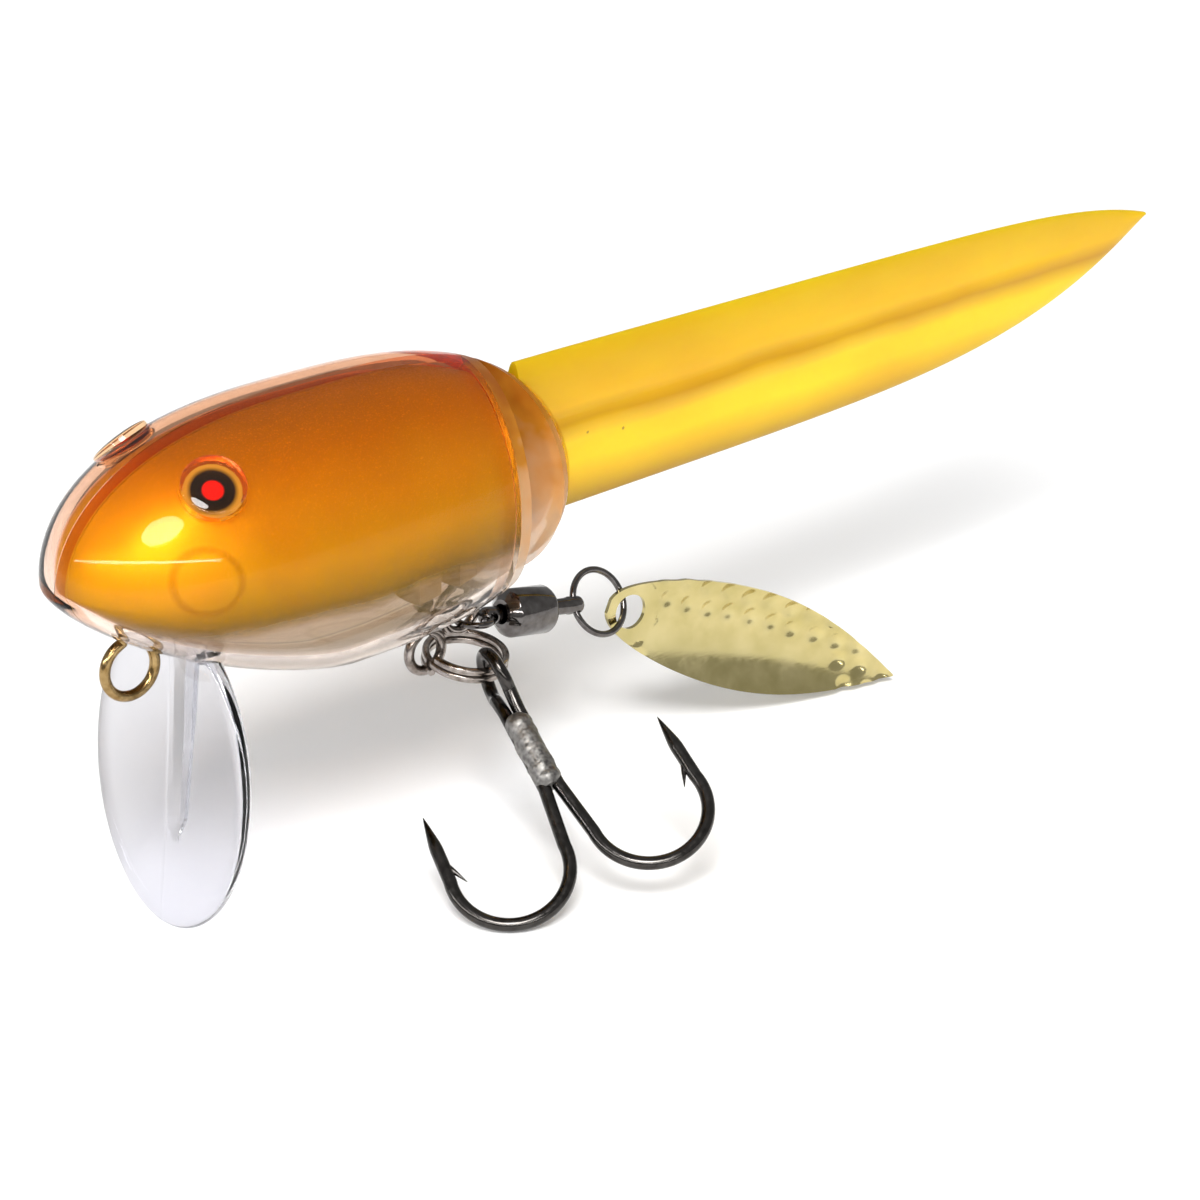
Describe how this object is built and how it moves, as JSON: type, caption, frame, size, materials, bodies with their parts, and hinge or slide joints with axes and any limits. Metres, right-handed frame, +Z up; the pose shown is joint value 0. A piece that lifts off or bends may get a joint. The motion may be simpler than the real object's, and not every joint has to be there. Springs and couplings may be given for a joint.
{
  "type": "fishing lure",
  "caption": "Jointed tadpole lure: hollow clear body with diving lip and rattle, soft fin tail, double hook and a willow blade on a swivel.",
  "frame": {"origin": "centre of the line tie's eye", "axes": "+X from nose to tail, +Z up, so the lure's left side is at -Y; it lies on a surface at Z = -0.0218"},
  "size_m": [0.1199, 0.0356, 0.0403],
  "materials": {
    "amber_shell": "clear moulded plastic over pearl amber paint",
    "clear_lens": "clear, polished",
    "eye_foil": "printed film",
    "bronze_wire": "bronze-plated wire",
    "steel": "bright",
    "black_nickel": "black nickel plate",
    "brass": "hammered and polished",
    "soft_yellow": "translucent soft elastomer"
  },
  "bodies": {
    "front_body": {"front_shell_left": "amber_shell", "front_shell_right": "amber_shell", "eye_foil_left": "eye_foil", "eye_foil_right": "eye_foil", "eye_dome_left": "clear_lens", "eye_dome_right": "clear_lens", "line_tie": "bronze_wire", "hook_hanger": "bronze_wire", "blade_hanger": "bronze_wire", "joint_pin": "steel"},
    "rattle": {"rattle_ball": "steel"},
    "rear_body": {"rear_shell_left": "amber_shell", "rear_shell_right": "amber_shell", "soft_tail": "soft_yellow"},
    "split_ring": {"hook_split_ring": "black_nickel"},
    "hook": {"double_hook": "black_nickel"},
    "swivel_ring": {"swivel_front_ring": "black_nickel"},
    "front_stem": {"swivel_front_stem": "black_nickel"},
    "barrel": {"swivel_barrel": "black_nickel"},
    "bearing_balls": {"swivel_ball_1": "steel", "swivel_ball_2": "steel", "swivel_ball_3": "steel", "swivel_ball_4": "steel", "swivel_ball_5": "steel", "swivel_ball_6": "steel"},
    "rear_stem": {"swivel_rear_stem": "black_nickel"},
    "rear_ring": {"swivel_rear_ring": "black_nickel"},
    "blade": {"spinner_blade": "brass"}
  },
  "joints": [
    {"name": "rattle_slide", "type": "slide", "parent": "front_body", "child": "rattle", "axis": [0, 1, 0], "range_m": [0, 0.0096]},
    {"name": "body_joint", "type": "hinge", "parent": "front_body", "child": "rear_body", "pos_m": [0.0333, 0, 0.00715], "axis": [0, 0, 1], "range_deg": [-22, 22]},
    {"name": "split_ring_swing", "type": "hinge", "parent": "front_body", "child": "split_ring", "pos_m": [0.0277, 0, -0.00715], "axis": [0.5127, 0.8445, 0.1549], "range_deg": [-2, 20]},
    {"name": "hook_swing", "type": "hinge", "parent": "split_ring", "child": "hook", "pos_m": [0.03062, -0.00471, -0.00826], "axis": [-0.9977, -0.0617, 0.0288], "range_deg": [-20, 20]},
    {"name": "swivel_ring_swing", "type": "hinge", "parent": "front_body", "child": "swivel_ring", "pos_m": [0.0312, 0, -0.00545], "axis": [0, 1, 0], "range_deg": [-3, 5]},
    {"name": "swivel_swing", "type": "hinge", "parent": "swivel_ring", "child": "front_stem", "pos_m": [0.03419, 0, -0.00571], "axis": [0, 1, 0], "range_deg": [-8, 12]},
    {"name": "barrel_spin", "type": "hinge", "parent": "front_stem", "child": "barrel", "pos_m": [0.03419, 0, -0.00571], "axis": [0.9833, 0, -0.1822], "continuous": true},
    {"name": "rear_stem_spin", "type": "hinge", "parent": "barrel", "child": "rear_stem", "pos_m": [0.04333, 0, -0.00741], "axis": [0.9833, 0, -0.1822], "continuous": true},
    {"name": "bearing_spin", "type": "hinge", "parent": "barrel", "child": "bearing_balls", "pos_m": [0.04333, 0, -0.00741], "axis": [0.9833, 0, -0.1822], "continuous": true},
    {"name": "rear_ring_swing", "type": "hinge", "parent": "rear_stem", "child": "rear_ring", "pos_m": [0.04333, 0, -0.00741], "axis": [0.1578, 0.5, 0.8515], "range_deg": [-35, 50]},
    {"name": "blade_swing", "type": "hinge", "parent": "rear_ring", "child": "blade", "pos_m": [0.04843, -0.00047, -0.00918], "axis": [0.4846, 0.4698, 0.7378], "range_deg": [-14, 24]}
  ],
  "couplings": [
    {"joint": "bearing_spin", "follows": "rear_stem_spin", "ratio": 0.5}
  ]
}
